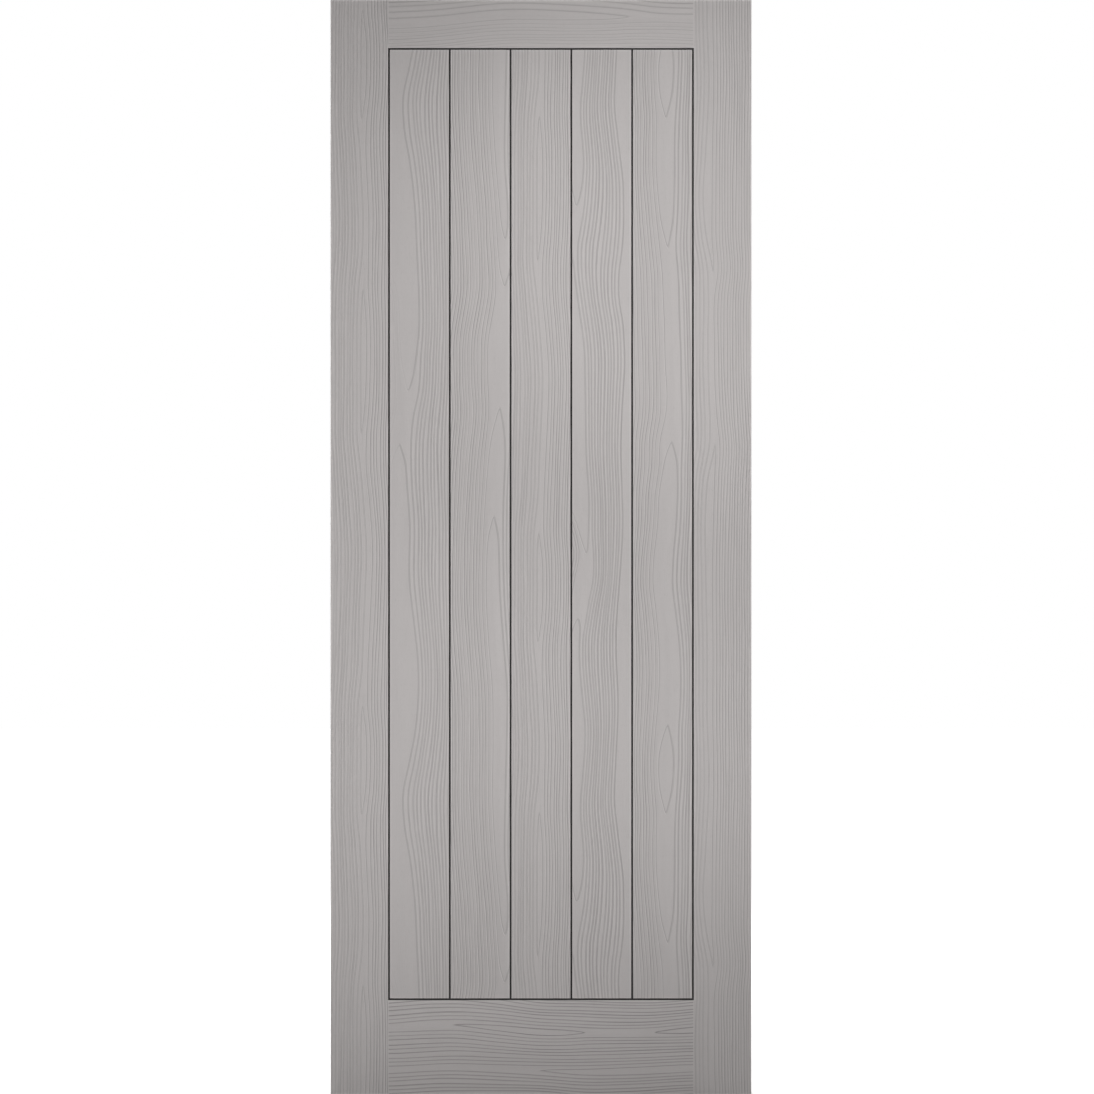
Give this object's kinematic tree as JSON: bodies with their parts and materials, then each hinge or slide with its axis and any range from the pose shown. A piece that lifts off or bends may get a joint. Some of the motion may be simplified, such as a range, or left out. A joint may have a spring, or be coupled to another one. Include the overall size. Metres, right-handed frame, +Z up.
{
  "type": "moulded interior door",
  "caption": "Hollow-core interior door leaf with moulded skins, grooved as upright boards between stiles and rails, over a softwood frame with lock blocks and a paper core.",
  "frame": {"origin": "foot of the hinge edge, at the middle of the leaf's thickness", "axes": "+Z up; +X from the hinge edge to the lock edge; +Y through the thickness, from the front face of the picture to the back face"},
  "size_m": [0.762, 0.035, 1.981],
  "materials": {
    "painted_fibreboard": "satin",
    "softwood": "matte",
    "core_paper": "matte"
  },
  "bodies": {
    "root": {"front_skin": "painted_fibreboard", "back_skin": "painted_fibreboard", "hinge_stile": "softwood", "lock_stile": "softwood", "top_rail": "softwood", "bottom_rail": "softwood", "hinge_side_block": "softwood", "lock_side_block": "softwood", "core_bottom": "core_paper", "core_middle": "core_paper", "core_top": "core_paper"}
  },
  "joints": []
}
